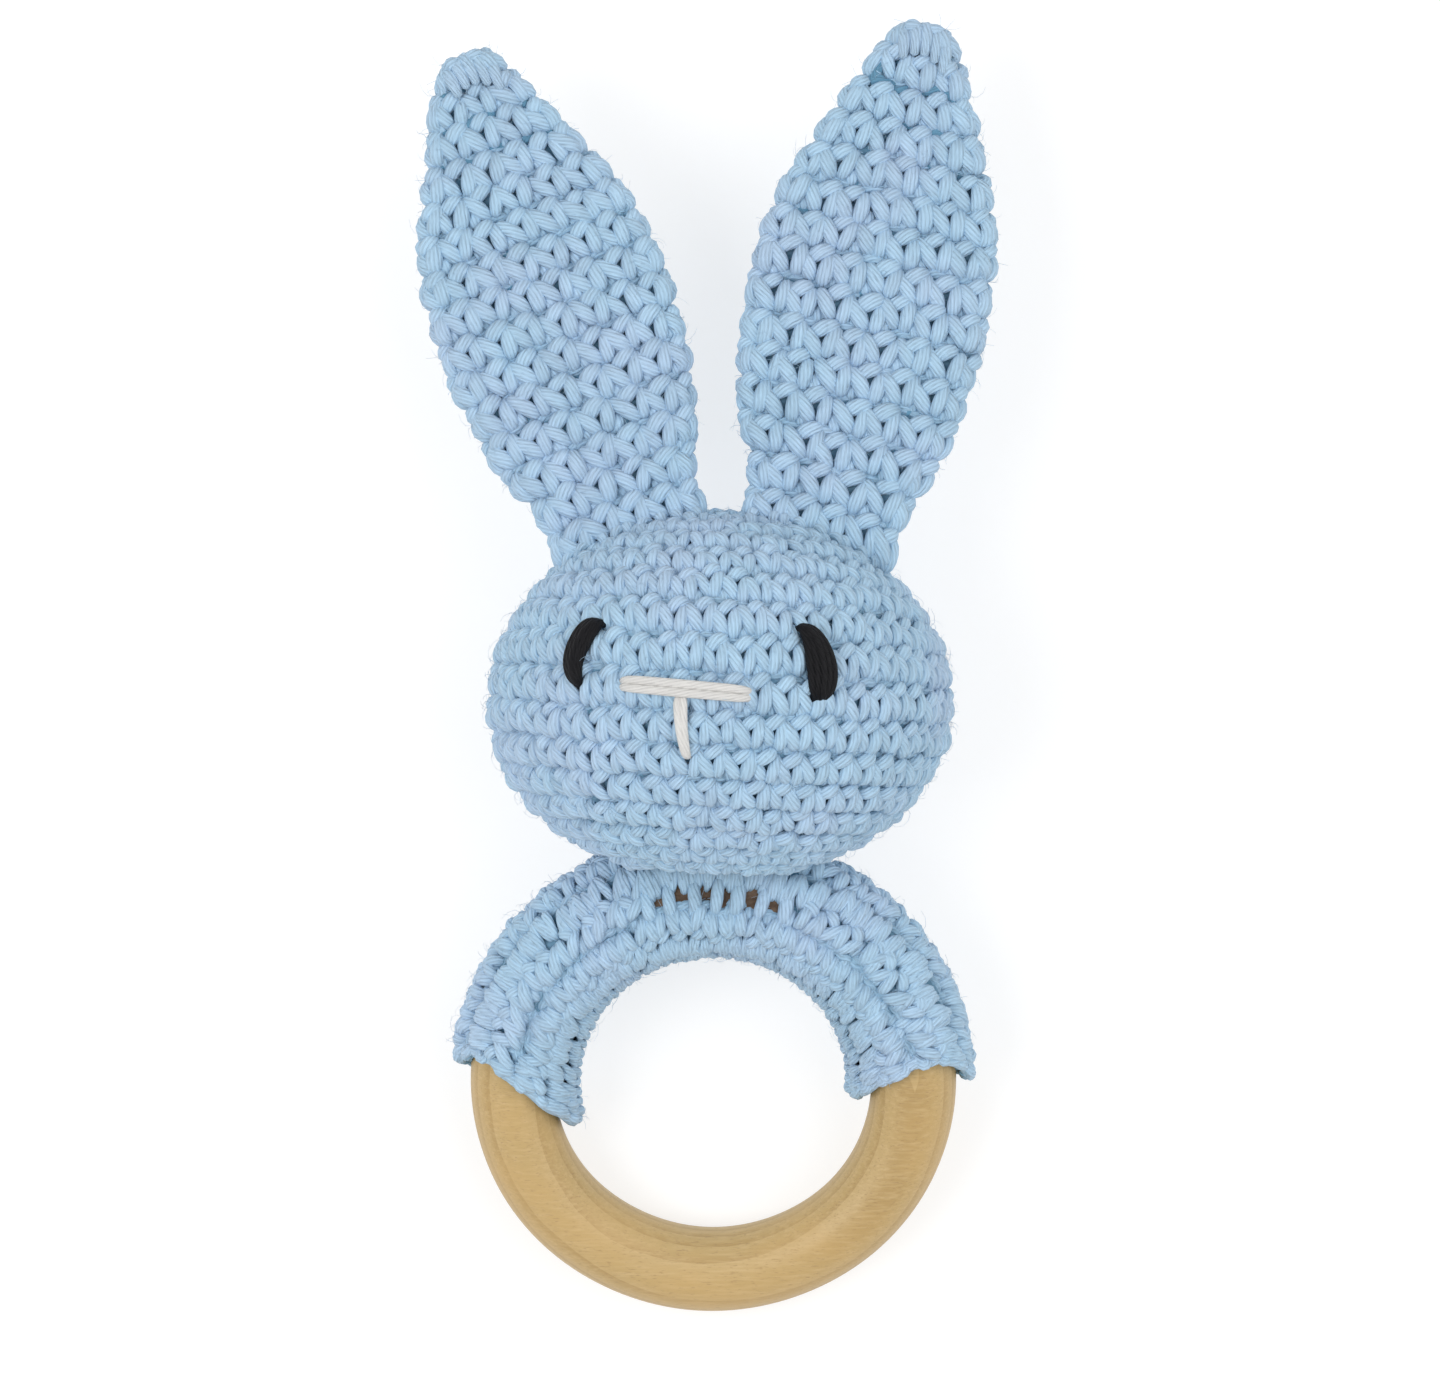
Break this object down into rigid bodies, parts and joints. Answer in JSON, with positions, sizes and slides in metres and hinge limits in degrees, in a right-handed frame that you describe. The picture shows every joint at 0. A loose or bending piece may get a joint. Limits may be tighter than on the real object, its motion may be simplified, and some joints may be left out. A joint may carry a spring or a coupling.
{
  "type": "teething ring",
  "caption": "Baby's teething rattle: a plain wooden ring turning in a crocheted sleeve, with a stuffed crocheted rabbit head and two flat ears.",
  "frame": {"origin": "centre of the small flat at the back of the head that the toy lies on", "axes": "+Z out of the face, +Y from the ring towards the ears, +X to the right seen from the front"},
  "size_m": [0.083, 0.1881, 0.0625],
  "materials": {
    "wood": "satin",
    "blue_yarn": "matte",
    "black_yarn": "matte",
    "cream_yarn": "matte",
    "filling": "matte",
    "capsule_plastic": "satin",
    "pellet_plastic": "satin"
  },
  "bodies": {
    "sleeve": {"ring_sleeve": "blue_yarn", "sleeve_seam": "blue_yarn"},
    "ring": {"wooden_ring": "wood"},
    "neck": {"neck_seam": "blue_yarn"},
    "head": {"head_shell": "blue_yarn", "head_stuffing": "filling", "rattle_case_front": "capsule_plastic", "rattle_case_back": "capsule_plastic", "left_eye": "black_yarn", "right_eye": "black_yarn", "nose_strand_upper": "cream_yarn", "nose_strand_lower": "cream_yarn", "mouth_strand": "cream_yarn", "left_ear_seam": "blue_yarn", "right_ear_seam": "blue_yarn"},
    "left_ear": {"left_ear": "blue_yarn"},
    "right_ear": {"right_ear": "blue_yarn"},
    "pellet_1": {"rattle_pellet_1": "pellet_plastic"},
    "pellet_2": {"rattle_pellet_2": "pellet_plastic"},
    "pellet_3": {"rattle_pellet_3": "pellet_plastic"}
  },
  "joints": [
    {"name": "ring_turn", "type": "hinge", "parent": "sleeve", "child": "ring", "pos_m": [-0.001, -0.05733, 0.0148], "axis": [0, -0.2924, 0.9563], "continuous": true},
    {"name": "neck_tilt", "type": "hinge", "parent": "sleeve", "child": "neck", "pos_m": [-0.001, -0.02936, 0.02335], "axis": [0, -0.2924, 0.9563], "range_deg": [-15, 15], "stiffness_Nm_per_rad": 0.15},
    {"name": "neck_nod", "type": "hinge", "parent": "neck", "child": "head", "pos_m": [-0.001, -0.02936, 0.02335], "axis": [1, 0, 0], "range_deg": [-10, 50], "stiffness_Nm_per_rad": 0.1},
    {"name": "left_ear_fold", "type": "hinge", "parent": "head", "child": "left_ear", "pos_m": [-0.01474, 0.02782, 0.03248], "axis": [0.9438, 0.3305, 0], "range_deg": [-60, 60], "stiffness_Nm_per_rad": 0.02},
    {"name": "right_ear_fold", "type": "hinge", "parent": "head", "child": "right_ear", "pos_m": [0.01533, 0.02754, 0.03248], "axis": [0.9781, -0.2079, 0], "range_deg": [-60, 60], "stiffness_Nm_per_rad": 0.02},
    {"name": "pellet_1_rattle", "type": "slide", "parent": "head", "child": "pellet_1", "axis": [0, 0, 1], "range_m": [0, 0.016]},
    {"name": "pellet_2_rattle", "type": "slide", "parent": "head", "child": "pellet_2", "axis": [0, 0, 1], "range_m": [0, 0.016]},
    {"name": "pellet_3_rattle", "type": "slide", "parent": "head", "child": "pellet_3", "axis": [0, 0, 1], "range_m": [0, 0.016]}
  ]
}
